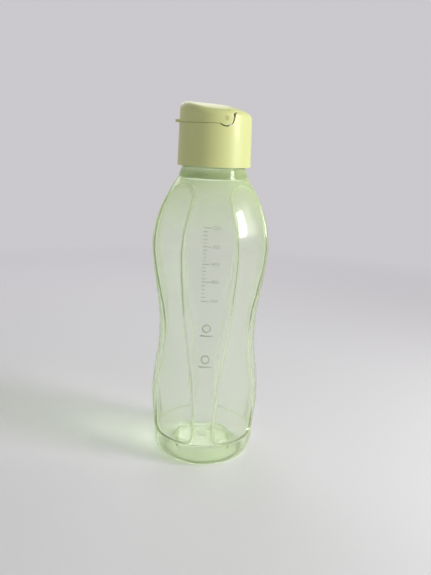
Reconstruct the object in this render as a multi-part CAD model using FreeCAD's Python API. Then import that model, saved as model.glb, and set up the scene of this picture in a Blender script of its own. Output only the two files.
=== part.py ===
import FreeCAD, Part
import math
import os

# Waisted drinking bottle with a screw cap and a flip lid, in millimetres.
# The origin is the centre of the foot on the table, +Z is up, the thumb tab of
# the lid points to -X, the lid's hinge lies towards +X and its pins along Y.

# Bottle body
WALL = 1.4
FOOT_TOP = 15.5
FOOT_CAVITY_TOP = 14.1
SHOULDER_TOP = 193.0
SHOULDER_RADIUS = 22.8
# Each row is one level of the body: height, radius of the four panels at their
# middle, half width of a panel, radius at its creases, radius between panels.
BODY_LEVELS = [
    (FOOT_TOP, 34.7, 6.4, 32.6, 31.0),
    (26.0, 36.1, 6.8, 33.6, 31.3),
    (43.0, 37.2, 7.6, 34.5, 31.5),
    (60.0, 36.1, 9.1, 32.6, 30.7),
    (75.0, 33.8, 11.1, 31.3, 30.1),
    (90.0, 33.2, 13.3, 31.3, 30.3),
    (105.0, 34.1, 15.2, 33.2, 31.8),
    (120.0, 36.3, 16.5, 36.4, 34.9),
    (135.0, 38.2, 17.5, 39.3, 37.8),
    (148.0, 39.2, 17.8, 40.7, 39.4),
    (158.0, 38.1, 17.0, 39.8, 38.6),
    (168.0, 35.6, 15.1, 37.2, 36.3),
    (178.0, 31.4, 12.7, 32.8, 32.2),
    (186.0, 27.3, 10.9, 28.0, 27.7),
    (SHOULDER_TOP, SHOULDER_RADIUS, 9.2, SHOULDER_RADIUS, SHOULDER_RADIUS),
]
FOOT_LEVELS = [
    (0.0, 28.4, 5.5, 28.2, 27.8),
    (1.0, 31.0, 5.8, 30.6, 30.2),
    (3.2, 32.9, 6.1, 32.4, 31.9),
    (8.0, 34.4, 6.3, 33.8, 33.2),
    (FOOT_TOP, 35.1, 6.4, 34.5, 33.7),
]
BASE_DISH_RADIUS = 26.0
BASE_DISH_DEPTH = 2.2
PLATFORM_WIDTH = 34.6
PLATFORM_CORNER = 10.0
PLATFORM_HEIGHT = 7.5

# Neck
NECK_RADIUS = 18.6
NECK_BORE = 16.6
NECK_TOP = 211.2
NECK_TAPER_BASE = 196.2
NECK_TAPER_RADIUS = 21.8
NECK_LEDGE_RADIUS = 20.9
NECK_LEDGE_TOP = 199.4
NECK_RIM_CHAMFER = 0.5
LEDGE_CHAMFER = 0.6
SHOULDER_BEAD = 0.9
THROAT_HEIGHT = 5.0

# Thread between neck and cap: three starts, right-handed
THREAD_STARTS = 3
THREAD_LEAD = 12.0
THREAD_BASE = 202.0
NECK_RIDGE_TIP = 20.05
NECK_RIDGE_WIDTHS = (1.9, 1.0)
NECK_RIDGE_SWEEP = 150.0
LINER_RIDGE_TIP = 19.15
LINER_RIDGE_WIDTHS = (1.5, 0.9)
LINER_RIDGE_SWEEP = 130.0
RIDGE_ROOT_SINK = 0.25

# Cap
CAP_BASE = 200.0
CAP_RADIUS = 24.0
CAP_TOP_RADIUS = 23.0
CAP_CONE_HEIGHT = 44.0
CAP_WELL_RADIUS = 22.0
CAP_EDGE_ROUND = 4.3
LINER_OUTER = 22.2
LINER_BORE = 20.65
LINER_BASE = 200.6
LINER_TOP = 212.8
GASKET_OUTER = 20.0
GASKET_BORE = 16.2
GASKET_BASE = 211.3
GASKET_TOP = 212.8
DECK_BASE = 212.9
DECK_TOP = 214.4
SEAM_HEIGHT = 226.7
SEAM_GAP = 0.2
# Lip inside the collar that the closed lid fits over, from one cheek round to the other
LIP_OUTER = 20.8
LIP_BORE = 19.9
LIP_SHELF_BASE = 223.4
LIP_SHELF_TOP = 226.5
LIP_TOP = 229.2
LIP_REAR_X = 0.9
# Crest of the cap from front to rear: distance along X, height
CREST = [
    (-30.0, 240.05),
    (-20.6, 239.9),
    (-11.3, 239.5),
    (-2.0, 238.9),
    (6.7, 238.2),
    (11.5, 237.2),
    (16.8, 235.6),
    (21.6, 233.3),
    (30.0, 226.5),
]
CROWN_CROSS_RADIUS = 67.0

# Far enough to leave the part on every side, and above it and below it
BEYOND = 30.0
ABOVE = 260.0
BELOW = 190.0
# How far cutters and joined solids run into each other
OVERLAP = 1.0

# Hinge of the lid
PIVOT_X = 6.6
PIVOT_Z = 230.0
PIN_RADIUS = 1.5
PIN_RUN = 0.05
PIN_INNER_Y = 14.9
PIN_OUTER_Y = 20.6
LUG_RADIUS = 3.2
LUG_INNER_Y = 14.9
LUG_OUTER_Y = 18.1
LUG_REAR = 1.6
LUG_OVERLAP = 0.4
EAR_INNER_Y = 18.4
EAR_RADIUS = 4.4
EAR_REACH = 4.9
EAR_NOTCH = 5.1
EAR_BOSS_RADIUS = 1.6
EAR_BOSS_BASE = 21.4
EAR_BOSS_FACE = 22.55
EAR_PIN_HOLE_END = 20.9
# The collar's rear wall ends in two slanted faces, from the well out to the cheeks
REAR_WALL_X = 11.9
REAR_WALL_INNER_Y = 17.4
REAR_WALL_OUTER_Y = 20.2
TAIL_RADIUS = 21.7
LID_SKIN = 2.0
LID_BORE = 21.0

# Thumb tab
TAB_TIP_X = -25.8
TAB_ROOT_X = -21.6
TAB_HALF_WIDTH = 5.5
TAB_THICKNESS = 1.6
TAB_CORNER = 1.9

# Spout and its plug
SPOUT_X = -8.0
SPOUT_RADIUS = 8.8
SPOUT_BORE = 6.8
SPOUT_TOP = 231.4
SPOUT_LIP_ROUND = 0.7
SPOUT_SPIGOT = 7.8
SPOUT_FLANGE = 10.8
SPOUT_FLANGE_THICKNESS = 1.4
SPOUT_SEAL_OUTER = 10.2
SPOUT_SEAL_THICKNESS = 0.8
LID_RING_OUTER = 8.4
LID_RING_BORE = 6.8
LID_RING_BASE = 233.6
CARRIER_FLANGE = 9.4
CARRIER_FLANGE_BASE = 232.5
CARRIER_STEM_TOP = 236.2
CARRIER_NOSE = 4.2
CARRIER_NOSE_BASE = 230.2
PLUG_FACE = 231.6
PLUG_NOSE = 6.3
PLUG_TIP = 5.6
PLUG_TIP_BASE = 229.3
PLUG_SEAL_EDGE = 9.0

Y_AXIS = FreeCAD.Vector(0, 1, 0)
Z_AXIS = FreeCAD.Vector(0, 0, 1)


def point(x, y, z):
    return FreeCAD.Vector(x, y, z)


def closed_face(points):
    """A flat face inside straight lines through the points."""
    return Part.Face(Part.makePolygon(points + [points[0]]))


def turned(profile):
    """A solid turned about the bottle's axis from (radius, height) points."""
    outline = [point(radius, 0, height) for radius, height in profile]
    return closed_face(outline).revolve(point(0, 0, 0), Z_AXIS, 360)


def disc(radius, base, top, x=0.0):
    return Part.makeCylinder(radius, top - base, point(x, 0, base))


def ring(outer, bore, base, top, x=0.0):
    return disc(outer, base, top, x).cut(disc(bore, base - OVERLAP, top + OVERLAP, x))


def block(x_range, y_range, z_range):
    size = [high - low for low, high in (x_range, y_range, z_range)]
    return Part.makeBox(*size, point(x_range[0], y_range[0], z_range[0]))


def fused(solids):
    whole = solids[0]
    for solid in solids[1:]:
        whole = whole.fuse(solid)
    return whole.removeSplitter()


def upright_edges(solid):
    return [edge for edge in solid.Edges if abs(edge.tangentAt(0).z) > 0.9]


def quarter_turned(vector, quarters):
    angle = math.radians(90 * quarters)
    x = vector.x * math.cos(angle) - vector.y * math.sin(angle)
    y = vector.x * math.sin(angle) + vector.y * math.cos(angle)
    return point(x, y, vector.z)


def body_section(height, panel, half_width, crease, between, inset=0.0):
    """Closed outline of the body at one level: four panel arcs and four arcs between."""
    crease -= inset
    half_width *= crease / (crease + inset)
    start = point(math.sqrt(crease ** 2 - half_width ** 2), -half_width, height)
    middle = point(panel - inset, 0, height)
    end = point(start.x, half_width, height)
    diagonal = (between - inset) / math.sqrt(2)
    corner = point(diagonal, diagonal, height)
    following = quarter_turned(start, 1)
    edges = []
    for quarter in range(4):
        for arc in ((start, middle, end), (end, corner, following)):
            bent = [quarter_turned(vector, quarter) for vector in arc]
            edges.append(Part.Arc(*bent).toShape())
    return Part.Wire(edges)


def lofted_levels(levels, inset=0.0):
    sections = [body_section(*level, inset=inset) for level in levels]
    return Part.makeLoft(sections, True, False)


def platform(width, corner, base, top):
    """The square push-up in the base, with round corners."""
    half = width / 2
    solid = block((-half, half), (-half, half), (base, top))
    return solid.makeFillet(corner, upright_edges(solid))


def base_dish(lift):
    """Shallow cone under the base; lift raises it to make the floor above."""
    rim = BASE_DISH_RADIUS - lift
    inner = PLATFORM_WIDTH / 2 + WALL
    top = BASE_DISH_DEPTH + lift
    low = lift - 5 * OVERLAP
    return turned([(0, low), (rim, low), (rim, lift), (inner, top), (0, top)])


def body_cavity():
    lower_levels = [level for level in FOOT_LEVELS if level[0] > 1.0]
    lower_levels[-1] = (FOOT_CAVITY_TOP,) + FOOT_LEVELS[-1][1:]
    floor_level = (WALL,) + FOOT_LEVELS[1][1:]
    foot = lofted_levels([floor_level] + lower_levels, WALL)
    foot = foot.cut(base_dish(WALL))
    push_up = platform(PLATFORM_WIDTH + 2 * WALL, PLATFORM_CORNER + WALL, 0,
                       PLATFORM_HEIGHT + WALL)
    foot = foot.cut(push_up)
    entry_level = (FOOT_CAVITY_TOP,) + BODY_LEVELS[0][1:]
    main = lofted_levels([entry_level] + BODY_LEVELS[1:], WALL)
    bore = disc(NECK_BORE, SHOULDER_TOP - OVERLAP, NECK_TOP + OVERLAP)
    throat = Part.makeCone(SHOULDER_RADIUS - WALL, NECK_BORE, THROAT_HEIGHT,
                           point(0, 0, SHOULDER_TOP))
    return fused([main, foot, throat, bore])


def neck():
    return turned([
        (0, SHOULDER_TOP),
        (SHOULDER_RADIUS, SHOULDER_TOP),
        (SHOULDER_RADIUS, SHOULDER_TOP + SHOULDER_BEAD),
        (NECK_TAPER_RADIUS, NECK_TAPER_BASE),
        (NECK_LEDGE_RADIUS, NECK_LEDGE_TOP - LEDGE_CHAMFER),
        (NECK_LEDGE_RADIUS - LEDGE_CHAMFER, NECK_LEDGE_TOP),
        (NECK_RADIUS, NECK_LEDGE_TOP),
        (NECK_RADIUS, NECK_TOP - NECK_RIM_CHAMFER),
        (NECK_RADIUS - NECK_RIM_CHAMFER, NECK_TOP),
        (0, NECK_TOP),
    ])


def thread_ridges(root, tip, widths, base, first_angle, sweep):
    """One helical ridge for each start, from the root radius to the tip radius."""
    root_width, tip_width = widths
    rise = THREAD_LEAD * sweep / 360
    helix = Part.makeHelix(THREAD_LEAD, rise, root)
    profile = Part.makePolygon([
        point(root, 0, -root_width / 2),
        point(tip, 0, -tip_width / 2),
        point(tip, 0, tip_width / 2),
        point(root, 0, root_width / 2),
        point(root, 0, -root_width / 2),
    ])
    ridge = Part.Wire(helix.Edges).makePipeShell([profile], True, True)
    ridges = []
    for start in range(THREAD_STARTS):
        copy = ridge.copy()
        angle = first_angle + 360 * start / THREAD_STARTS
        copy.rotate(point(0, 0, 0), Z_AXIS, angle)
        copy.translate(point(0, 0, base))
        ridges.append(copy)
    return ridges


def bottle_body():
    outside = fused([lofted_levels(FOOT_LEVELS), lofted_levels(BODY_LEVELS), neck()])
    outside = outside.cut(base_dish(0))
    outside = outside.cut(platform(PLATFORM_WIDTH, PLATFORM_CORNER, -OVERLAP,
                                   PLATFORM_HEIGHT))
    shell = outside.cut(body_cavity())
    ridges = thread_ridges(NECK_RADIUS - RIDGE_ROOT_SINK, NECK_RIDGE_TIP,
                           NECK_RIDGE_WIDTHS, THREAD_BASE, 0, NECK_RIDGE_SWEEP)
    return fused([shell] + ridges)


def neck_gasket():
    return ring(GASKET_OUTER, GASKET_BORE, GASKET_BASE, GASKET_TOP)


def cap_liner():
    sleeve = ring(LINER_OUTER, LINER_BORE, LINER_BASE, LINER_TOP)
    pitch = THREAD_LEAD / THREAD_STARTS
    angle = (NECK_RIDGE_SWEEP - LINER_RIDGE_SWEEP) / 2
    base = THREAD_BASE + THREAD_LEAD * angle / 360 + pitch / 2
    ridges = thread_ridges(LINER_BORE + RIDGE_ROOT_SINK, LINER_RIDGE_TIP,
                           LINER_RIDGE_WIDTHS, base, angle, LINER_RIDGE_SWEEP)
    return fused([sleeve] + ridges)


def crown_block(drop=0.0):
    """Everything under the cap's crown, which is domed across and falls to the rear."""
    sections = []
    sag = CROWN_CROSS_RADIUS - math.sqrt(CROWN_CROSS_RADIUS ** 2 - BEYOND ** 2)
    for x, height in CREST:
        top = height - drop
        left = point(x, -BEYOND, top - sag)
        right = point(x, BEYOND, top - sag)
        dome = Part.Arc(left, point(x, 0, top), right)
        sides = Part.makePolygon([
            right,
            point(x, BEYOND, BELOW),
            point(x, -BEYOND, BELOW),
            left,
        ])
        sections.append(Part.Wire([dome.toShape()] + sides.Edges))
    return Part.makeLoft(sections, True, False)


def cap_envelope():
    """Outer shape of the closed cap."""
    cone = Part.makeCone(CAP_RADIUS, CAP_TOP_RADIUS, CAP_CONE_HEIGHT, point(0, 0, CAP_BASE))
    solid = cone.common(crown_block())
    rim = [edge for edge in solid.Edges
           if edge.BoundBox.ZMin > DECK_TOP and edge.BoundBox.XLength > CAP_RADIUS / 2
           and edge.BoundBox.YLength > CAP_RADIUS / 2]
    return solid.makeFillet(CAP_EDGE_ROUND, rim)


def side_bar(radius, y_low, y_high):
    """A bar along Y about the pivot."""
    base = point(PIVOT_X, y_low, PIVOT_Z)
    return Part.makeCylinder(radius, y_high - y_low, base, Y_AXIS)


def mirrored_pair(low, high):
    return ((low, high), (-high, -low))


def notch_cutter():
    """Room in the collar for the lid's ears and, above the pivot, for the hood."""
    cutters = []
    for y_range in mirrored_pair(LUG_OUTER_Y, BEYOND):
        cutters.append(side_bar(EAR_NOTCH, *y_range))
    inner_x = math.sqrt(CAP_WELL_RADIUS ** 2 - REAR_WALL_INNER_Y ** 2)
    outline = [
        point(-BEYOND, -BEYOND, PIVOT_Z),
        point(REAR_WALL_X, -BEYOND, PIVOT_Z),
        point(REAR_WALL_X, -REAR_WALL_OUTER_Y, PIVOT_Z),
        point(inner_x, -REAR_WALL_INNER_Y, PIVOT_Z),
        point(inner_x, REAR_WALL_INNER_Y, PIVOT_Z),
        point(REAR_WALL_X, REAR_WALL_OUTER_Y, PIVOT_Z),
        point(REAR_WALL_X, BEYOND, PIVOT_Z),
        point(-BEYOND, BEYOND, PIVOT_Z),
    ]
    cutters.append(closed_face(outline).extrude(point(0, 0, ABOVE - PIVOT_Z)))
    front = block((-BEYOND, PIVOT_X), (-BEYOND, BEYOND), (SEAM_HEIGHT - SEAM_GAP / 2, ABOVE))
    cutters.append(front)
    return fused(cutters)


def hinge_lugs():
    """Two posts on the deck that carry the pins."""
    lugs = []
    for y_range in mirrored_pair(LUG_INNER_Y, LUG_OUTER_Y):
        eye = side_bar(LUG_RADIUS, *y_range)
        post = block((PIVOT_X - LUG_RADIUS, PIVOT_X + LUG_REAR), y_range, (DECK_BASE, PIVOT_Z))
        lugs.append(eye.fuse(post).cut(side_bar(PIN_RADIUS, *y_range)))
    return lugs


def lid_lip():
    """Shelf round the front of the well, with a thin lip standing on it."""
    shelf = ring(CAP_WELL_RADIUS + LUG_OVERLAP, LIP_BORE, LIP_SHELF_BASE, LIP_SHELF_TOP)
    lip = ring(LIP_OUTER, LIP_BORE, LIP_SHELF_BASE, LIP_TOP)
    front = block((-BEYOND, LIP_REAR_X), (-BEYOND, BEYOND), (BELOW, ABOVE))
    return shelf.fuse(lip).common(front)


def cap_collar():
    shell = cap_envelope()
    shell = shell.cut(disc(CAP_WELL_RADIUS, DECK_TOP, ABOVE))
    shell = shell.cut(disc(LINER_OUTER, BELOW, DECK_BASE))
    shell = shell.cut(notch_cutter())
    shell = shell.cut(disc(SPOUT_SPIGOT, DECK_BASE - OVERLAP, DECK_TOP + OVERLAP, SPOUT_X))
    lugs = []
    for lug in hinge_lugs():
        lugs.append(lug.common(disc(CAP_WELL_RADIUS + LUG_OVERLAP, DECK_BASE, ABOVE)))
    return fused([shell, lid_lip()] + lugs)


def spout():
    flange_base = DECK_TOP + SPOUT_SEAL_THICKNESS
    flange_top = flange_base + SPOUT_FLANGE_THICKNESS
    outside = [
        disc(SPOUT_SPIGOT, DECK_BASE, flange_top, SPOUT_X),
        disc(SPOUT_FLANGE, flange_base, flange_top, SPOUT_X),
        disc(SPOUT_RADIUS, flange_base, SPOUT_TOP, SPOUT_X),
    ]
    body = fused(outside)
    lip = [edge for edge in body.Edges if edge.BoundBox.ZMin > SPOUT_TOP - SPOUT_LIP_ROUND]
    body = body.makeFillet(SPOUT_LIP_ROUND, lip)
    return body.cut(disc(SPOUT_BORE, DECK_BASE - OVERLAP, SPOUT_TOP + OVERLAP, SPOUT_X))


def spout_seal():
    return ring(SPOUT_SEAL_OUTER, SPOUT_SPIGOT, DECK_TOP, DECK_TOP + SPOUT_SEAL_THICKNESS,
                SPOUT_X)


def hinge_pin(side):
    low, high = sorted((side * PIN_INNER_Y, side * PIN_OUTER_Y))
    return side_bar(PIN_RADIUS, low, high)


def tail_limit():
    """Room that the rear of the lid may fill: the well's circle turned about the pivot."""
    end_y = math.sqrt(TAIL_RADIUS ** 2 - PIVOT_X ** 2)
    reach = TAIL_RADIUS - PIVOT_X
    arc = Part.Arc(point(PIVOT_X, -end_y, PIVOT_Z), point(PIVOT_X + reach, 0, PIVOT_Z),
                   point(PIVOT_X, end_y, PIVOT_Z))
    axis_line = Part.makeLine(point(PIVOT_X, end_y, PIVOT_Z), point(PIVOT_X, -end_y, PIVOT_Z))
    face = Part.Face(Part.Wire([arc.toShape(), axis_line]))
    return face.revolve(point(PIVOT_X, 0, PIVOT_Z), Y_AXIS, 360)


def ear_room():
    """Where the lid has its two solid cheeks, which turn on the pins."""
    cheeks = []
    for y_range in mirrored_pair(EAR_INNER_Y, BEYOND):
        eye = side_bar(EAR_RADIUS, *y_range)
        window = block((PIVOT_X - EAR_REACH, PIVOT_X + EAR_RADIUS), y_range,
                       (PIVOT_Z, PIVOT_Z + EAR_REACH))
        cheeks.append(eye.fuse(side_bar(EAR_REACH, *y_range).common(window)))
    return cheeks


def ear_bosses():
    """A low round boss on each cheek, over the end of its pin."""
    bosses = []
    for y_range in mirrored_pair(EAR_BOSS_BASE, EAR_BOSS_FACE):
        bosses.append(side_bar(EAR_BOSS_RADIUS, *y_range))
    return bosses


def lid_hollow():
    """Space inside the lid: below its skin, around the cheeks and the plug's socket."""
    heights = (BELOW, ABOVE)
    under_hood = disc(LID_BORE, *heights)
    under_hood = under_hood.common(block((-BEYOND, PIVOT_X), (-BEYOND, BEYOND), heights))
    under_tail = block((PIVOT_X - OVERLAP, BEYOND), (-EAR_INNER_Y, EAR_INNER_Y), heights)
    room = under_hood.fuse(under_tail)
    for cheek in ear_room():
        room = room.cut(cheek)
    for y_range in mirrored_pair(EAR_INNER_Y - OVERLAP, EAR_PIN_HOLE_END):
        room = room.fuse(side_bar(PIN_RADIUS + PIN_RUN, *y_range))
    socket = ring(LID_RING_OUTER, LID_RING_BORE, LID_RING_BASE, ABOVE, SPOUT_X)
    return room.cut(socket).common(crown_block(LID_SKIN))


def thumb_tab():
    base = SEAM_HEIGHT + SEAM_GAP / 2
    solid = block((TAB_TIP_X, TAB_ROOT_X), (-TAB_HALF_WIDTH, TAB_HALF_WIDTH),
                  (base, base + TAB_THICKNESS))
    corners = [edge for edge in upright_edges(solid) if edge.BoundBox.XMax < TAB_ROOT_X - 1]
    return solid.makeFillet(TAB_CORNER, corners)


def flip_lid():
    seam = SEAM_HEIGHT + SEAM_GAP / 2
    hood_room = block((-BEYOND, PIVOT_X), (-BEYOND, BEYOND), (seam, ABOVE))
    rear_room = block((PIVOT_X - OVERLAP, BEYOND), (-EAR_INNER_Y, EAR_INNER_Y),
                      (PIVOT_Z, ABOVE))
    tail_room = tail_limit().common(rear_room)
    room = fused([hood_room, tail_room] + ear_room())
    lid = cap_envelope().common(room)
    lid = lid.cut(lid_hollow())
    return fused([lid, thumb_tab()] + ear_bosses())


def plug_carrier():
    stem = disc(LID_RING_BORE, LID_RING_BASE, CARRIER_STEM_TOP, SPOUT_X)
    flange = disc(CARRIER_FLANGE, CARRIER_FLANGE_BASE, LID_RING_BASE, SPOUT_X)
    nose = disc(CARRIER_NOSE, CARRIER_NOSE_BASE, CARRIER_FLANGE_BASE, SPOUT_X)
    return fused([stem, flange, nose])


def plug_seal():
    cup = Part.makeCone(PLUG_TIP, PLUG_NOSE, PLUG_FACE - PLUG_TIP_BASE,
                        point(SPOUT_X, 0, PLUG_TIP_BASE))
    face = disc(PLUG_SEAL_EDGE, PLUG_FACE, CARRIER_FLANGE_BASE, SPOUT_X)
    pocket = disc(CARRIER_NOSE, CARRIER_NOSE_BASE, CARRIER_FLANGE_BASE + OVERLAP, SPOUT_X)
    return cup.fuse(face).removeSplitter().cut(pocket)


def save(name, shape):
    shape.exportStep("parts/" + name + ".step")
    print(name, "valid", shape.isValid(), "solids", len(shape.Solids),
          "volume", round(shape.Volume, 1))


def main():
    os.makedirs("parts", exist_ok=True)
    save("bottle_body", bottle_body())
    save("neck_gasket", neck_gasket())
    save("cap_collar", cap_collar())
    save("cap_liner", cap_liner())
    save("spout", spout())
    save("spout_seal", spout_seal())
    save("hinge_pin_near", hinge_pin(-1.0))
    save("hinge_pin_far", hinge_pin(1.0))
    save("flip_lid", flip_lid())
    save("plug_carrier", plug_carrier())
    save("plug_seal", plug_seal())


main()
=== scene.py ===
import math

import bmesh
import bpy
from mathutils import Euler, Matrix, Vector


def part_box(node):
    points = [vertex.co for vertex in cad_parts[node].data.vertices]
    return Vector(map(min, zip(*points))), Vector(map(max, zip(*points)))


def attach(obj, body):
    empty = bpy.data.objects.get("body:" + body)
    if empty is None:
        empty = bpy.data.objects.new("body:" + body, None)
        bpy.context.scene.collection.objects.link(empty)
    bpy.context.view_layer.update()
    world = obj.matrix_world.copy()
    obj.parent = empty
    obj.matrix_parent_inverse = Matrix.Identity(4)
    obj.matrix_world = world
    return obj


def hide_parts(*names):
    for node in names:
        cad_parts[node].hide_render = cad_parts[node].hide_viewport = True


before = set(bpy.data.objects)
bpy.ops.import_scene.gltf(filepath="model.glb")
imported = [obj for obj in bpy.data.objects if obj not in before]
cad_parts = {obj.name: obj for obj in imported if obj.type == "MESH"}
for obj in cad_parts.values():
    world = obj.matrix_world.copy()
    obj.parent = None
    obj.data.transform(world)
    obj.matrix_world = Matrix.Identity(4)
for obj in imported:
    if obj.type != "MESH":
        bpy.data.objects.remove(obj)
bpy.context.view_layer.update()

bl_info = {
    "name": "Waisted Drinking Bottle",
    "version": (1, 0, 0),
    "blender": (4, 5, 0),
    "location": "View3D > Sidebar > Bottle",
    "description": "Makes a waisted drinking bottle with a flip-lid cap around its packed frame",
    "category": "Add Mesh",
}

MM = 0.001
NECK_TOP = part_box("bottle_body")[1].z / MM

# Shape of the bottle's wall, in millimetres
SHOULDER_TOP = 193.0
# Height, radius at the middle of a panel, half width of a panel, radius at its creases,
# and radius between the panels, which only the foot and the shoulder reach
SKIN_LEVELS = [
    (0.0, 28.4, 5.5, 28.2, 27.8),
    (1.0, 31.0, 5.8, 30.6, 30.2),
    (3.2, 32.9, 6.1, 32.4, 31.9),
    (8.0, 34.4, 6.3, 33.8, 33.2),
    (15.5, 35.0, 6.4, 34.4, 33.7),
    (26.0, 36.1, 6.8, 34.6, 34.0),
    (43.0, 37.2, 7.6, 34.7, 34.0),
    (60.0, 36.1, 9.1, 32.6, 32.0),
    (75.0, 33.8, 11.1, 31.3, 30.8),
    (90.0, 33.2, 13.3, 31.3, 30.8),
    (105.0, 34.1, 15.2, 33.2, 32.4),
    (120.0, 36.3, 16.5, 36.4, 35.4),
    (135.0, 38.1, 17.5, 39.3, 38.2),
    (148.0, 39.1, 17.8, 40.7, 39.8),
    (158.0, 38.0, 17.0, 39.8, 39.0),
    (168.0, 35.5, 15.1, 37.2, 36.7),
    (178.0, 31.4, 12.7, 32.8, 32.5),
    (186.0, 27.3, 10.9, 28.0, 27.9),
    (193.0, 22.8, 9.2, 22.8, 22.8),
]
# Height, radius at the crease and radius at the middle of the four long recesses
RECESS_LEVELS = [
    (0.0, 28.0, 27.6),
    (15.5, 32.6, 31.0),
    (26.0, 33.5, 31.3),
    (43.0, 34.4, 31.5),
    (60.0, 32.5, 30.7),
    (75.0, 31.2, 30.1),
    (90.0, 31.2, 30.3),
    (105.0, 33.0, 31.8),
    (120.0, 36.1, 34.9),
    (135.0, 39.0, 37.8),
    (148.0, 40.4, 39.4),
    (158.0, 39.5, 38.6),
    (168.0, 36.9, 36.3),
    (178.0, 32.5, 32.1),
    (186.0, 27.8, 27.6),
    (193.0, 22.6, 22.6),
]
RECESS_FOOT = 16.0
RECESS_TOP = 189.0
RECESS_FOOT_CORNER = 7.5
RECESS_TOP_CORNER = 10.5
SHOULDER_SLANT = 1.25
# Least rise of the arc between two creases
FLATTEST_ARC = 0.02

# Density of the wall's mesh
PANEL_COLUMNS = 20
RECESS_COLUMNS = 34
COLUMN_CROWDING = 0.6
FOOT_HEIGHTS = [0.0, 0.25, 0.6, 1.0, 1.6, 2.3, 3.2, 4.3, 5.6, 7.2, 9.0, 11.0, 13.0]
INNER_FOOT_HEIGHTS = [1.9, 2.6, 3.6, 5.0, 7.0, 10.0, 12.5]
INNER_TOP = 192.0

# Outline of the neck above the shoulder: radius, height
NECK_OUTSIDE = [
    (22.75, 193.6), (22.5, 194.3), (22.2, 195.2), (21.8, 196.2), (21.4, 197.4), (20.95, 198.7),
    (20.75, 199.1), (20.3, 199.35), (19.4, 199.45), (18.8, 199.6), (18.6, 200.0),
]
NECK_RADIUS = 18.6
NECK_BORE = 16.6
# The same over the rim, down the bore and out to the inside of the shoulder
NECK_RIM = [
    (NECK_RADIUS, 209.2), (NECK_RADIUS, NECK_TOP - 0.5), (18.45, NECK_TOP - 0.15),
    (18.1, NECK_TOP), (17.1, NECK_TOP), (16.75, NECK_TOP - 0.15), (NECK_BORE, NECK_TOP - 0.5),
    (NECK_BORE, 205.0), (NECK_BORE, 199.0), (16.9, 197.2), (17.9, 195.6), (19.6, 193.9),
]

# Thread on the neck: heights and half widths in millimetres, angles in degrees
THREAD_BASE = 202.0
THREAD_LEAD = 12.0
THREAD_STARTS = 3
THREAD_SWEEP = 150.0
THREAD_BEFORE = 30.0
THREAD_RUN_OUT = 9.0
THREAD_HEIGHT = 1.4
THREAD_ROOT = 0.95
THREAD_TIP = 0.5
THREAD_LOW, THREAD_HIGH = 200.6, 208.8
THREAD_RINGS = 36

# Base
CONTACT_RADIUS = 26.0
DISH_DEPTH = 2.2
PLATFORM_HALF = 17.3
PLATFORM_CORNER = 10.0
PLATFORM_HEIGHT = 7.5
GATE_DEPTH = 0.35
GATE_REACH = 0.12
GATE_EDGE = 0.05
CONTACT_INSET = 0.4
# Rings as shares of the way out to the platform's edge, which is 1
PLATFORM_SHARES = (0.04, 0.08, 0.12, 0.3, 0.5, 0.7, 0.86, 0.93, 0.965)
# Share and drop below the platform
PLATFORM_ROUNDING = ((0.978, 0.12), (0.988, 0.45), (0.994, 1.0))
# Share and rise above the dish round the platform
DISH_ROUNDING = ((1.012, 0.9), (1.022, 0.35), (1.05, 0.0))
# Steps from the dish to the ring that the bottle stands on
DISH_STEPS = (0.35, 0.7, 0.93, 1.0)

# Marks on the front panel, in millimetres
MARK_LEFT = -4.6
MARK_LONG = 5.2
MARK_SHORT = 2.6
MARK_SHORT_LINE = 0.75
MARK_STEPS = 5
MARK_FIGURES = 5.8
MARK_FIGURE_SIZE = 3.3
# Millilitres and the height at which the bottle holds them
MARK_LEVELS = [(350, 117.3), (400, 130.2), (450, 141.7), (500, 152.6), (550, 164.0)]
SIGN_HEIGHTS = (96.5, 75.5)
SIGN_RING_X, SIGN_RING_RISE = -0.3, 2.0
SIGN_RING_RADIUS, SIGN_RING_STROKE = 2.9, 0.75
SIGN_BAR_X, SIGN_BAR_DROP = -4.4, 3.0
SIGN_BAR_LENGTH, SIGN_BAR_STROKE = 8.2, 0.8
INK_LIFT = 0.02

# Milkiness added to the clear wall: on the ribs, and from one height, in metres, to the
# height where it is full
HAZE_CREASE = 0.40
HAZE_BANDS = [(0.03, 0.012, 0.0), (0.17, 0.150, 0.185), (0.18, 0.184, 0.198)]

# Camera, in metres, millimetres of lens and degrees
CAMERA_PLACE = (0.0, -0.4145, 0.2171)
CAMERA_LENS = 38.82
CAMERA_DROP = 13.445
CAMERA_TURN = -0.65
CAMERA_ROLL = 2.606

# Name, place, target, width and height, watts and colour
WARM = (1.0, 0.99, 0.96)
LAMPS = [
    ("key_low", (0.68, -0.24, 0.325), (0, 0, 0.15), (0.22, 0.155), 2.8, WARM),
    ("key_high", (0.68, -0.24, 0.515), (0, 0, 0.15), (0.22, 0.155), 2.8, WARM),
    ("fill", (-0.6, -0.6, 0.5), (0, 0, 0.12), (0.8, 0.8), 0.4, (0.95, 0.97, 1.0)),
    ("back", (-0.2, 0.6, 0.6), (0, 0, 0.12), (0.6, 0.6), 2.2, (1.0, 1.0, 1.0)),
]
AMBIENT = (0.98, 0.99, 1.0, 1.0)
AMBIENT_STRENGTH = 0.34
FLOOR_SIZE = 8.0
# Distances over which the floor turns into the backdrop
FLOOR_NEAR = 0.25
FLOOR_FADE = 0.6


# ---------------------------------------------------------------- shader maths

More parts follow.
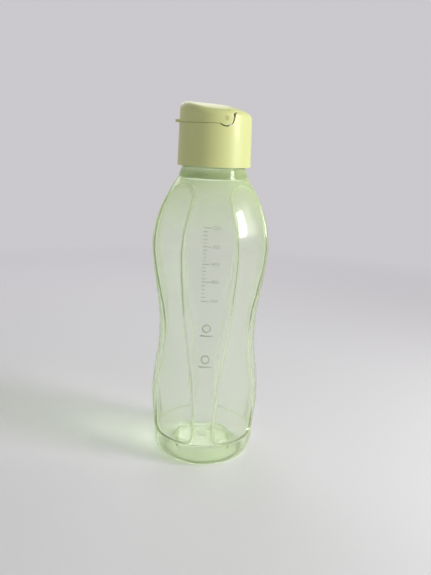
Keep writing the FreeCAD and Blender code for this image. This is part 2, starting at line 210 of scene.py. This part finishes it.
class Socket:
    """An output socket that can be used in Python expressions."""

    def __init__(self, tree, output):
        self.tree = tree
        self.output = output

    def _math(self, operation, *values):
        return self.tree.add("ShaderNodeMath", {"operation": operation},
                             dict(enumerate(values)))

    def __add__(self, other):
        return self._math("ADD", self, other)

    def __radd__(self, other):
        return self._math("ADD", other, self)

    def __sub__(self, other):
        return self._math("SUBTRACT", self, other)

    def __rsub__(self, other):
        return self._math("SUBTRACT", other, self)

    def __mul__(self, other):
        return self._math("MULTIPLY", self, other)

    def __rmul__(self, other):
        return self._math("MULTIPLY", other, self)

    def __truediv__(self, other):
        return self._math("DIVIDE", self, other)

    def __pow__(self, other):
        return self._math("POWER", self, other)

    def clamped(self):
        return self.tree.add("ShaderNodeClamp", {}, {"Value": self})


class Finish:
    """The nodes of a material, or of the world, under construction."""

    def __init__(self, owner):
        self.owner = owner
        self.owner.use_nodes = True
        self.nodes = self.owner.node_tree.nodes
        self.links = self.owner.node_tree.links
        self.nodes.clear()

    def add(self, kind, settings, values, output=0):
        node = self.nodes.new(kind)
        for name, value in settings.items():
            setattr(node, name, value)
        for key, value in values.items():
            if isinstance(value, Socket):
                self.links.new(value.output, node.inputs[key])
            else:
                node.inputs[key].default_value = value
        return None if output is None else Socket(self, node.outputs[output])

    def place(self):
        return self.add("ShaderNodeTexCoord", {}, {}, "Object")

    def noise(self, scale, detail=3.0, roughness=0.5, stretch=(1, 1, 1)):
        place = self.add("ShaderNodeMapping", {}, {"Vector": self.place(), "Scale": stretch})
        return self.add("ShaderNodeTexNoise", {}, {"Vector": place, "Scale": scale,
                                                   "Detail": detail, "Roughness": roughness})

    def height(self):
        """Height above the table in metres."""
        return self.add("ShaderNodeSeparateXYZ", {}, {"Vector": self.place()}, "Z")

    def blend(self, amount, first, second):
        settings = {"data_type": "RGBA", "blend_type": "MIX"}
        return self.add("ShaderNodeMix", settings, {0: amount, 6: first, 7: second}, 2)

    def mix(self, amount, first, second):
        return self.add("ShaderNodeMixShader", {}, {0: amount, 1: first, 2: second})

    def bump(self, height, strength, distance):
        return self.add("ShaderNodeBump", {}, {"Height": height, "Strength": strength,
                                               "Distance": distance})

    def plastic(self, **values):
        named = {name.replace("_", " "): value for name, value in values.items()}
        return self.add("ShaderNodeBsdfPrincipled", {}, named)

    def done(self, shader, output="ShaderNodeOutputMaterial"):
        self.add(output, {}, {"Surface": shader}, None)
        return self.owner


def material_finish(name):
    return Finish(bpy.data.materials.new(name))


def with_alpha(colour):
    return (colour[0], colour[1], colour[2], 1.0)


def bottle_finish(colours):
    """Clear green plastic, milky where it is thick: on the creases, the base and the neck."""
    finish = material_finish("clear_green_plastic")
    cloud = finish.noise(38.0, 4.0, 0.55, (1, 1, 0.35))
    scuffs = finish.noise(900.0, 2.0, 0.6, (1, 1, 0.08))
    edge = finish.add("ShaderNodeLayerWeight", {}, {"Blend": 0.42}, "Facing")
    crease = finish.add("ShaderNodeAttribute", {"attribute_name": "crease"}, {}, "Fac")
    tint = finish.blend((edge ** 2.2).clamped(), with_alpha(colours.body_tint),
                        with_alpha(colours.body_edge))
    rough = 0.06 + 0.05 * cloud + 0.03 * scuffs
    relief = finish.bump(finish.noise(120.0, 2.0, 0.5), 0.10, 0.0004)
    clear = finish.plastic(Base_Color=tint, Roughness=rough, IOR=1.47, Transmission_Weight=1.0,
                           Sheen_Weight=1.0, Sheen_Roughness=0.35,
                           Sheen_Tint=with_alpha(colours.body_haze), Normal=relief)
    lamps = finish.add("ShaderNodeBsdfTransparent", {}, {"Color": (0.74, 0.80, 0.68, 1.0)})
    shadow = finish.add("ShaderNodeLightPath", {}, {}, "Is Shadow Ray")
    clear = finish.mix(shadow, clear, lamps)
    front = finish.add("ShaderNodeBsdfDiffuse", {}, {"Color": with_alpha(colours.body_haze)})
    through = finish.add("ShaderNodeBsdfTranslucent", {},
                         {"Color": with_alpha(colours.body_haze)})
    milk = finish.mix(0.5, front, through)
    haze = colours.haze_amount * (0.6 + 0.8 * cloud) + HAZE_CREASE * crease
    for amount, start, full in HAZE_BANDS:
        haze = haze + amount * ((finish.height() - start) / (full - start)).clamped()
    return finish.done(finish.mix(haze.clamped(), clear, milk))


def cap_finish(colours):
    """Satin moulded plastic: soft flow marks, a fine grain and slightly rubbed sheen."""
    finish = material_finish("cap_plastic")
    flow = finish.noise(26.0, 3.0, 0.5, (1, 1, 0.4))
    grain = finish.noise(2600.0, 2.0, 0.6)
    rub = finish.noise(90.0, 5.0, 0.65)
    colour = finish.blend((0.25 + 0.5 * flow).clamped(), with_alpha(colours.cap_colour),
                          with_alpha(colours.cap_colour_deep))
    rough = 0.36 + 0.10 * rub + 0.04 * grain
    relief = finish.bump(grain, 0.18, 0.00012)
    shader = finish.plastic(Base_Color=colour, Roughness=rough, IOR=1.49,
                            Subsurface_Weight=0.12, Subsurface_Scale=0.004,
                            Subsurface_Radius=(1.0, 0.9, 0.4), Coat_Weight=0.06, Normal=relief)
    return finish.done(shader)


def spout_finish(colours):
    """Smooth pale plastic with faint turned lines."""
    finish = material_finish("spout_plastic")
    lines = finish.noise(60.0, 2.0, 0.5, (0.2, 0.2, 8.0))
    colour = finish.blend(lines, with_alpha(colours.spout_colour), with_alpha(colours.cap_colour))
    relief = finish.bump(lines, 0.15, 0.0002)
    return finish.done(finish.plastic(Base_Color=colour, Roughness=0.28 + 0.08 * lines,
                                      IOR=1.49, Normal=relief))


def silicone_finish(colours):
    """Milky silicone: soft, matte and slightly dusty."""
    finish = material_finish("silicone")
    dust = finish.noise(300.0, 4.0, 0.6)
    colour = finish.blend(0.4 * dust, with_alpha(colours.silicone), (0.62, 0.64, 0.58, 1.0))
    relief = finish.bump(dust, 0.12, 0.0002)
    return finish.done(finish.plastic(Base_Color=colour, Roughness=0.52 + 0.12 * dust,
                                      Subsurface_Weight=0.2, Subsurface_Scale=0.003,
                                      Normal=relief))


def pin_finish(colours):
    """Plain moulded pins, a shade deeper than the cap."""
    finish = material_finish("pin_plastic")
    grain = finish.noise(1500.0, 2.0, 0.6)
    colour = finish.blend(0.5 * grain, with_alpha(colours.cap_colour_deep), (0.3, 0.32, 0.14, 1))
    return finish.done(finish.plastic(Base_Color=colour, Roughness=0.4 + 0.1 * grain,
                                      Normal=finish.bump(grain, 0.1, 0.0001)))


def ink_finish(colours):
    """Pad-printed ink, thin in places."""
    finish = material_finish("printed_ink")
    wear = finish.noise(1800.0, 3.0, 0.7)
    colour = finish.blend(0.5 * wear, with_alpha(colours.ink), (0.50, 0.56, 0.44, 1.0))
    return finish.done(finish.plastic(Base_Color=colour, Roughness=0.5 + 0.15 * wear,
                                      Normal=finish.bump(wear, 0.08, 0.0001)))


# ---------------------------------------------------------------- shared steps

def activate(piece):
    bpy.ops.object.select_all(action="DESELECT")
    piece.select_set(True)
    bpy.context.view_layer.objects.active = piece


def face_outwards(mesh):
    work = bmesh.new()
    work.from_mesh(mesh)
    bmesh.ops.recalc_face_normals(work, faces=work.faces)
    work.to_mesh(mesh)
    work.free()


def mesh_piece(name, points, faces):
    """A closed mesh piece from points in millimetres, with its faces pointing outwards."""
    mesh = bpy.data.meshes.new(name)
    mesh.from_pydata([tuple(value * MM for value in place) for place in points], [], faces)
    face_outwards(mesh)
    piece = bpy.data.objects.new(name, mesh)
    bpy.context.scene.collection.objects.link(piece)
    return piece


def smooth(piece, degrees=32.0):
    activate(piece)
    bpy.ops.object.shade_smooth_by_angle(angle=math.radians(degrees))


def paint(piece, material):
    piece.data.materials.clear()
    piece.data.materials.append(material)


# ---------------------------------------------------------------- bottle wall

def level_value(levels, column, height):
    """Smooth value of one column of a table of levels at a height."""
    heights = [level[0] for level in levels]
    values = [level[column] for level in levels]
    last = len(levels) - 1
    height = min(max(height, heights[0]), heights[last])
    index = max(i for i in range(last) if heights[i] <= height)

    def slope(i):
        if i in (0, last):
            step = 1 if i == 0 else -1
            return (values[i + step] - values[i]) / (heights[i + step] - heights[i])
        before = (values[i] - values[i - 1]) / (heights[i] - heights[i - 1])
        after = (values[i + 1] - values[i]) / (heights[i + 1] - heights[i])
        share = (heights[i] - heights[i - 1]) / (heights[i + 1] - heights[i - 1])
        return before * (1 - share) + after * share

    span = heights[index + 1] - heights[index]
    t = (height - heights[index]) / span
    return ((2 * t ** 3 - 3 * t ** 2 + 1) * values[index]
            + (t ** 3 - 2 * t ** 2 + t) * span * slope(index)
            + (3 * t ** 2 - 2 * t ** 3) * values[index + 1]
            + (t ** 3 - t ** 2) * span * slope(index + 1))


def arc_radius(apex, crease, half_angle, angle):
    """Radius at an angle of the arc through the apex and the creases on both sides of it."""
    along = crease * math.cos(half_angle)
    across = crease * math.sin(half_angle)
    rise = max(apex - along, FLATTEST_ARC)
    bend = (rise ** 2 + across ** 2) / (2 * rise)
    centre = apex - bend
    return centre * math.cos(angle) + math.sqrt(bend ** 2 - (centre * math.sin(angle)) ** 2)


def smoothstep(value):
    value = min(max(value, 0.0), 1.0)
    return value * value * (3 - 2 * value)


def rounded_corner(side, end, corner):
    """Distance inside two crossing edges whose corner is rounded."""
    if side < corner and end < corner:
        return corner - math.hypot(corner - side, corner - end)
    return min(side, end)


def eased(share):
    """Spreads columns so that they stand closer together at both creases."""
    return share - COLUMN_CROWDING * math.sin(2 * math.pi * share) / (2 * math.pi)


def polar(radius, angle, height):
    return radius * math.cos(angle), radius * math.sin(angle), height


class Wall:
    """The bottle's wall, ring by ring. A ring has the same columns at every height."""

    def __init__(self, sizes):
        self.ribs = {}
        self.rib = sizes.rib_height / MM
        self.rib_width = sizes.rib_width / MM
        self.edge = sizes.recess_edge / MM
        self.wall = sizes.wall / MM

    def columns(self, height):
        """Angle, share across its panel or recess and kind of every column."""
        half_width = level_value(SKIN_LEVELS, 2, height)
        crease = level_value(SKIN_LEVELS, 3, height)
        half_angle = math.asin(half_width / crease)
        found = []
        for quarter in range(4):
            turn = quarter * math.pi / 2
            for step in range(PANEL_COLUMNS):
                share = eased(step / PANEL_COLUMNS)
                found.append((turn + half_angle * (2 * share - 1), share, "panel"))
            for step in range(RECESS_COLUMNS):
                share = eased(step / RECESS_COLUMNS)
                reach = math.pi / 4 - half_angle
                found.append((turn + math.pi / 4 + reach * (2 * share - 1), share, "recess"))
        return half_angle, found

    def radius(self, height, half_angle, angle, share, kind, ribbed):
        panel = level_value(SKIN_LEVELS, 1, height)
        crease = level_value(SKIN_LEVELS, 3, height)
        quarter = math.pi / 2
        if kind == "panel":
            across = half_angle * crease
            turned = (angle + quarter / 2) % quarter - quarter / 2
            skin = arc_radius(panel, crease, half_angle, turned)
            side = -across * (1 - abs(1 - 2 * share))
        else:
            reach = quarter / 2 - half_angle
            across = reach * crease
            turned = angle % quarter - quarter / 2
            skin = arc_radius(level_value(SKIN_LEVELS, 4, height), crease, reach, turned)
            side = across * (1 - abs(1 - 2 * share))
        foot = rounded_corner(side, height - RECESS_FOOT, RECESS_FOOT_CORNER)
        top = rounded_corner(side, (RECESS_TOP - height) * SHOULDER_SLANT, RECESS_TOP_CORNER)
        inside = min(foot, top)
        result = skin
        if kind == "recess":
            floor = arc_radius(level_value(RECESS_LEVELS, 2, height),
                               level_value(RECESS_LEVELS, 1, height), reach, turned)
            result = skin + (floor - skin) * smoothstep(inside / self.edge)
        rib = math.exp(-(inside / self.rib_width) ** 2) if ribbed else 0.0
        return result + self.rib * rib, rib

    def ring(self, height, inset=0.0, ribbed=True):
        half_angle, columns = self.columns(height)
        points = []
        for angle, share, kind in columns:
            radius, rib = self.radius(height, half_angle, angle, share, kind, ribbed)
            points.append(polar(radius - inset, angle, height))
            if rib > 0.01:
                self.ribs[points[-1]] = rib
        return points

    def angles(self, height):
        return [angle for angle, share, kind in self.columns(height)[1]]

    def round_ring(self, radius, height):
        return [polar(radius, angle, height) for angle in self.angles(SHOULDER_TOP)]

    def thread_ring(self, height):
        """The neck's outside at a height, with the three thread ridges on it."""
        points = []
        for angle in self.angles(SHOULDER_TOP):
            swell = 0.0
            for start in range(THREAD_STARTS):
                along = math.degrees(angle) - 360 * start / THREAD_STARTS
                along = (along + THREAD_BEFORE) % 360 - THREAD_BEFORE
                middle = THREAD_BASE + THREAD_LEAD * along / 360
                run_out = min(along, THREAD_SWEEP - along) / THREAD_RUN_OUT + 0.5
                flank = (THREAD_ROOT - abs(height - middle)) / (THREAD_ROOT - THREAD_TIP)
                swell = max(swell, smoothstep(flank) * smoothstep(run_out))
            points.append(polar(NECK_RADIUS + THREAD_HEIGHT * swell, angle, height))
        return points

    def platform_reach(self, angle, grow):
        """Distance from the axis to the outline of the pushed-up square."""
        half = PLATFORM_HALF + grow
        corner = PLATFORM_CORNER + grow
        along = abs(math.cos(angle))
        across = abs(math.sin(angle))
        if along < across:
            along, across = across, along
        straight = half / along
        if straight * across <= half - corner:
            return straight
        inner = half - corner
        middle = inner * (along + across)
        return middle + math.sqrt(middle ** 2 - 2 * inner ** 2 + corner ** 2)

    def base_rings(self, lift, grow):
        """Rings from the middle of the base out to the ring that it stands on."""
        angles = self.angles(0.0)
        top = PLATFORM_HEIGHT + lift
        dish = DISH_DEPTH + lift
        levels = [(share, top - GATE_DEPTH * smoothstep((GATE_REACH - share) / GATE_EDGE))
                  for share in PLATFORM_SHARES]
        levels += [(share, top - drop) for share, drop in PLATFORM_ROUNDING]
        levels += [(share, dish + rise) for share, rise in DISH_ROUNDING]
        rings = [[polar(share * self.platform_reach(angle, grow), angle, height)
                  for angle in angles] for share, height in levels]
        start = levels[-1][0]
        far = CONTACT_RADIUS - lift * CONTACT_INSET
        for step in DISH_STEPS:
            height = dish + (lift - dish) * smoothstep(step)
            rings.append([])
            for angle in angles:
                near = start * self.platform_reach(angle, grow)
                rings[-1].append(polar(near + (far - near) * step, angle, height))
        return rings


def spread(low, high, count):
    return [low + (high - low) * step / count for step in range(count)]


def outer_heights():
    return (FOOT_HEIGHTS + spread(14.0, 20.0, 18) + spread(20.0, 30.0, 12)
            + spread(30.0, 176.0, 92) + spread(176.0, SHOULDER_TOP, 26) + [SHOULDER_TOP])


def inner_heights():
    return (INNER_FOOT_HEIGHTS + spread(14.0, 22.0, 14) + spread(22.0, 176.0, 62)
            + spread(176.0, INNER_TOP, 12) + [INNER_TOP])


def bottle_shell(sizes):
    """The whole blown bottle: foot, panels, recesses, neck, thread and inside."""
    wall = Wall(sizes)
    rings = wall.base_rings(0.0, 0.0)
    rings += [wall.ring(height) for height in outer_heights()]
    rings += [wall.round_ring(radius, height) for radius, height in NECK_OUTSIDE]
    rings += [wall.thread_ring(height)
              for height in spread(THREAD_LOW, THREAD_HIGH, THREAD_RINGS)]
    rings += [wall.round_ring(radius, height) for radius, height in NECK_RIM]
    inside = [wall.ring(height, inset=wall.wall, ribbed=False) for height in inner_heights()]
    rings += inside[::-1]
    rings += wall.base_rings(wall.wall, wall.wall)[::-1]
    width = len(rings[0])
    points = [place for ring in rings for place in ring]
    faces = []
    for row in range(len(rings) - 1):
        for column in range(width):
            following = (column + 1) % width
            faces.append((row * width + column, row * width + following,
                          (row + 1) * width + following, (row + 1) * width + column))
    for ring, flip in ((0, True), (len(rings) - 1, False)):
        points.append((0.0, 0.0, rings[ring][0][2]))
        centre = len(points) - 1
        for column in range(width):
            pair = [ring * width + column, ring * width + (column + 1) % width]
            faces.append(tuple((pair[::-1] if flip else pair) + [centre]))
    piece = mesh_piece("bottle_shell", points, faces)
    crease = piece.data.attributes.new("crease", "FLOAT", "POINT")
    for index, place in enumerate(points):
        crease.data[index].value = wall.ribs.get(place, 0.0)
    return piece


# ---------------------------------------------------------------- marks

def front_surface(x, z):
    """How far the front panel stands from the axis plane at a place on it."""
    crease = level_value(SKIN_LEVELS, 3, z)
    half_angle = math.asin(level_value(SKIN_LEVELS, 2, z) / crease)
    panel = level_value(SKIN_LEVELS, 1, z)
    angle = math.atan2(x, panel)
    for _ in range(3):
        radius = arc_radius(panel, crease, half_angle, angle)
        angle = math.asin(x / radius)
    return radius * math.cos(angle)


def flat_strip(x, z, width, height):
    """A thin bar of ink in the XZ plane, in millimetres, cut so that it can bend."""
    bpy.ops.mesh.primitive_plane_add(size=1.0)
    bar = bpy.context.active_object
    bpy.ops.object.mode_set(mode="EDIT")
    bpy.ops.mesh.subdivide(number_cuts=5)
    bpy.ops.object.mode_set(mode="OBJECT")
    for vertex in bar.data.vertices:
        across, along = vertex.co.x, vertex.co.y
        vertex.co = ((x + width * (across + 0.5)) * MM, 0.0, (z + height * along) * MM)
    return bar


def flat_number(text, x, z, size):
    """Plain figures in the XZ plane."""
    bpy.ops.object.text_add()
    figures = bpy.context.active_object
    figures.data.body = text
    figures.data.size = size * MM
    figures.data.align_y = "CENTER"
    figures.data.resolution_u = 3
    bpy.ops.object.convert(target="MESH")
    figures = bpy.context.active_object
    for vertex in figures.data.vertices:
        vertex.co = (vertex.co.x + x * MM, 0.0, vertex.co.y + z * MM)
    return figures


def flat_ring(x, z, radius, stroke):
    """A plain ring of ink in the XZ plane."""
    bpy.ops.mesh.primitive_circle_add(vertices=48, radius=radius * MM, fill_type="NOTHING")
    ring = bpy.context.active_object
    bpy.ops.object.mode_set(mode="EDIT")
    bpy.ops.mesh.select_all(action="SELECT")
    bpy.ops.mesh.extrude_edges_move()
    inner = (radius - stroke) / radius
    bpy.ops.transform.resize(value=(inner, inner, 1.0))
    bpy.ops.object.mode_set(mode="OBJECT")
    for vertex in ring.data.vertices:
        vertex.co = (vertex.co.x + x * MM, 0.0, vertex.co.y + z * MM)
    return ring


def printed_marks(sizes):
    """Fill levels with plain figures, and two plain signs below them."""
    line = sizes.mark_line / MM
    pieces = []
    for number, (volume, height) in enumerate(MARK_LEVELS):
        pieces.append(flat_strip(MARK_LEFT, height, MARK_LONG, line))
        pieces.append(flat_number(str(volume), MARK_LEFT + MARK_FIGURES, height,
                                  MARK_FIGURE_SIZE))
        if number + 1 < len(MARK_LEVELS):
            gap = (MARK_LEVELS[number + 1][1] - height) / MARK_STEPS
            for minor in range(1, MARK_STEPS):
                pieces.append(flat_strip(MARK_LEFT, height + minor * gap, MARK_SHORT,
                                         line * MARK_SHORT_LINE))
    for height in SIGN_HEIGHTS:
        pieces.append(flat_ring(SIGN_RING_X, height + SIGN_RING_RISE, SIGN_RING_RADIUS,
                                SIGN_RING_STROKE))
        pieces.append(flat_strip(SIGN_BAR_X, height - SIGN_BAR_DROP, SIGN_BAR_LENGTH,
                                 SIGN_BAR_STROKE))
    activate(pieces[0])
    for piece in pieces:
        piece.select_set(True)
    bpy.ops.object.join()
    marks = bpy.context.active_object
    marks.name = "printed_marks"
    for vertex in marks.data.vertices:
        x, z = vertex.co.x / MM, vertex.co.z / MM
        vertex.co.y = -(front_surface(x, z) + INK_LIFT) * MM
    thickness = marks.modifiers.new("ink", "SOLIDIFY")
    thickness.thickness = sizes.ink_thickness
    thickness.offset = 0.0
    bpy.ops.object.modifier_apply(modifier=thickness.name)
    face_outwards(marks.data)
    return marks


# ---------------------------------------------------------------- stage

def aimed_light(name, place, target, size, power, colour):
    data = bpy.data.lights.new(name, "AREA")
    data.shape = "RECTANGLE"
    data.size, data.size_y = size
    data.energy = power
    data.color = colour
    lamp = bpy.data.objects.new(name, data)
    bpy.context.scene.collection.objects.link(lamp)
    lamp.location = place
    aim = Vector(target) - Vector(place)
    lamp.rotation_euler = aim.to_track_quat("-Z", "Y").to_euler()
    return lamp


def floor_finish(colours):
    """Pale matte floor that turns into the backdrop's colour away from the bottle."""
    finish = material_finish("floor")
    near = finish.plastic(Base_Color=with_alpha(colours.floor), Roughness=0.7,
                          Specular_IOR_Level=0.2)
    far = finish.add("ShaderNodeEmission", {}, {"Color": with_alpha(colours.backdrop)})
    reach = finish.add("ShaderNodeVectorMath", {"operation": "LENGTH"},
                       {0: finish.place()}, "Value")
    fade = ((reach - FLOOR_NEAR) / FLOOR_FADE).clamped()
    return finish.done(finish.mix(fade, near, far))


def studio_world(colours):
    """Even pale light, with the backdrop's colour wherever it is seen."""
    world = Finish(bpy.data.worlds.new("studio"))
    ambient = world.add("ShaderNodeBackground", {},
                        {"Color": AMBIENT, "Strength": AMBIENT_STRENGTH})
    seen = world.add("ShaderNodeBackground", {}, {"Color": with_alpha(colours.backdrop)})
    camera, glossy, through = (world.add("ShaderNodeLightPath", {}, {}, "Is %s Ray" % kind)
                               for kind in ("Camera", "Glossy", "Transmission"))
    share = (camera + glossy + through).clamped()
    return world.done(world.mix(share, ambient, seen), "ShaderNodeOutputWorld")


# ---------------------------------------------------------------- add-on classes

class BottleSizes(bpy.types.PropertyGroup):
    wall: bpy.props.FloatProperty(
        name="Wall", description="Thickness of the blown wall", default=1.4 * MM,
        min=0.5 * MM, max=3 * MM, unit="LENGTH", precision=5)
    rib_height: bpy.props.FloatProperty(
        name="Rib height", description="How far the fine rib on each crease stands out",
        default=0.4 * MM, min=0.0, max=1 * MM, unit="LENGTH", precision=5)
    rib_width: bpy.props.FloatProperty(
        name="Rib width", description="Half width of the rib on each crease",
        default=0.75 * MM, min=0.2 * MM, max=3 * MM, unit="LENGTH", precision=5)
    recess_edge: bpy.props.FloatProperty(
        name="Recess edge", description="Width of the slope into each recess",
        default=1.7 * MM, min=0.3 * MM, max=5 * MM, unit="LENGTH", precision=5)
    mark_line: bpy.props.FloatProperty(
        name="Mark line", description="Height of a printed level line",
        default=0.5 * MM, min=0.1 * MM, max=2 * MM, unit="LENGTH", precision=5)
    ink_thickness: bpy.props.FloatProperty(
        name="Ink", description="Thickness of the printed ink",
        default=0.06 * MM, min=0.01 * MM, max=0.5 * MM, unit="LENGTH", precision=5)


class BottleColours(bpy.types.PropertyGroup):
    body_tint: bpy.props.FloatVectorProperty(
        name="Body", description="Tint of the clear wall seen face on", subtype="COLOR",
        size=3, min=0, max=1, default=(0.977, 0.990, 0.965))
    body_edge: bpy.props.FloatVectorProperty(
        name="Body edge", description="Tint of the wall seen edge on", subtype="COLOR",
        size=3, min=0, max=1, default=(0.93, 0.98, 0.84))
    body_haze: bpy.props.FloatVectorProperty(
        name="Haze", description="Colour of the milky haze in the wall", subtype="COLOR",
        size=3, min=0, max=1, default=(0.68, 0.80, 0.47))
    haze_amount: bpy.props.FloatProperty(
        name="Haze amount", description="Share of milky haze in the wall",
        subtype="FACTOR", default=0.05, min=0, max=1)
    cap_colour: bpy.props.FloatVectorProperty(
        name="Cap", description="Colour of the cap and lid", subtype="COLOR",
        size=3, min=0, max=1, default=(0.62, 0.66, 0.29))
    cap_colour_deep: bpy.props.FloatVectorProperty(
        name="Cap, deeper", description="Deeper tone of the cap's flow marks",
        subtype="COLOR", size=3, min=0, max=1, default=(0.57, 0.60, 0.24))
    spout_colour: bpy.props.FloatVectorProperty(
        name="Spout", description="Colour of the drinking spout", subtype="COLOR",
        size=3, min=0, max=1, default=(0.78, 0.80, 0.62))
    silicone: bpy.props.FloatVectorProperty(
        name="Silicone", description="Colour of the seals", subtype="COLOR",
        size=3, min=0, max=1, default=(0.78, 0.80, 0.74))
    ink: bpy.props.FloatVectorProperty(
        name="Ink", description="Colour of the printed marks", subtype="COLOR",
        size=3, min=0, max=1, default=(0.40, 0.46, 0.35))
    floor: bpy.props.FloatVectorProperty(
        name="Floor", description="Colour of the floor", subtype="COLOR",
        size=3, min=0, max=1, default=(0.70, 0.69, 0.71))
    backdrop: bpy.props.FloatVectorProperty(
        name="Backdrop", description="Colour of everything behind the floor",
        subtype="COLOR", size=3, min=0, max=1, default=(0.60, 0.58, 0.61))


class BOTTLE_OT_wall(bpy.types.Operator):
    """Make the bottle's blown wall with its panels, recesses, neck and thread"""

    bl_idname = "bottle.wall"
    bl_label = "Bottle wall"

    def execute(self, context):
        piece = bottle_shell(context.scene.bottle_sizes)
        smooth(piece, 38.0)
        paint(piece, bottle_finish(context.scene.bottle_colours))
        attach(piece, "bottle")
        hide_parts("bottle_body")
        return {"FINISHED"}


class BOTTLE_OT_marks(bpy.types.Operator):
    """Print the fill levels and the plain signs on the front panel"""

    bl_idname = "bottle.marks"
    bl_label = "Printed marks"

    def execute(self, context):
        piece = printed_marks(context.scene.bottle_sizes)
        paint(piece, ink_finish(context.scene.bottle_colours))
        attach(piece, "bottle")
        return {"FINISHED"}


class BOTTLE_OT_cap(bpy.types.Operator):
    """Finish the cap, its lid and the pieces inside them"""

    bl_idname = "bottle.cap"
    bl_label = "Cap and lid"

    def execute(self, context):
        colours = context.scene.bottle_colours
        cap = cap_finish(colours)
        silicone = silicone_finish(colours)
        spout = spout_finish(colours)
        pins = pin_finish(colours)
        finishes = {
            "cap_collar": cap, "cap_liner": cap, "flip_lid": cap, "plug_carrier": cap,
            "spout": spout, "neck_gasket": silicone, "spout_seal": silicone,
            "plug_seal": silicone, "hinge_pin_near": pins, "hinge_pin_far": pins,
        }
        for node, finish in finishes.items():
            paint(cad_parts[node], finish)
        return {"FINISHED"}


class BOTTLE_OT_stage(bpy.types.Operator):
    """Set the camera, the lamps and the pale floor"""

    bl_idname = "bottle.stage"
    bl_label = "Stage"

    def execute(self, context):
        scene = context.scene
        data = bpy.data.cameras.new("camera")
        data.sensor_fit = "AUTO"
        data.sensor_width = 36.0
        data.lens = CAMERA_LENS
        camera = bpy.data.objects.new("camera", data)
        scene.collection.objects.link(camera)
        camera.location = CAMERA_PLACE
        turn = Euler((math.radians(90 - CAMERA_DROP), 0.0, math.radians(CAMERA_TURN)))
        roll = Euler((0.0, 0.0, math.radians(CAMERA_ROLL)))
        camera.rotation_euler = (turn.to_matrix() @ roll.to_matrix()).to_euler()
        scene.camera = camera
        for lamp in LAMPS:
            aimed_light(*lamp)
        scene.world = studio_world(scene.bottle_colours)
        bpy.ops.mesh.primitive_plane_add(size=FLOOR_SIZE, location=(0, 0, 0))
        floor = context.active_object
        floor.name = "floor"
        paint(floor, floor_finish(scene.bottle_colours))
        scene.view_settings.view_transform = "Standard"
        return {"FINISHED"}


class BOTTLE_PT_panel(bpy.types.Panel):
    """The bottle's sizes, colours and steps"""

    bl_idname = "BOTTLE_PT_panel"
    bl_label = "Drinking Bottle"
    bl_space_type = "VIEW_3D"
    bl_region_type = "UI"
    bl_category = "Bottle"

    def draw(self, context):
        for group in (context.scene.bottle_sizes, context.scene.bottle_colours):
            column = self.layout.column(align=True)
            for name in group.__annotations__:
                column.prop(group, name)
        for operator in OPERATORS:
            self.layout.operator(operator.bl_idname)


OPERATORS = (BOTTLE_OT_wall, BOTTLE_OT_marks, BOTTLE_OT_cap, BOTTLE_OT_stage)
CLASSES = (BottleSizes, BottleColours) + OPERATORS + (BOTTLE_PT_panel,)


def register():
    for cls in CLASSES:
        bpy.utils.register_class(cls)
    bpy.types.Scene.bottle_sizes = bpy.props.PointerProperty(type=BottleSizes)
    bpy.types.Scene.bottle_colours = bpy.props.PointerProperty(type=BottleColours)


def unregister():
    del bpy.types.Scene.bottle_colours
    del bpy.types.Scene.bottle_sizes
    for cls in reversed(CLASSES):
        bpy.utils.unregister_class(cls)


def main():
    register()
    bpy.ops.bottle.stage()
    bpy.ops.bottle.wall()
    bpy.ops.bottle.marks()
    bpy.ops.bottle.cap()


if __name__ == "__main__":
    main()
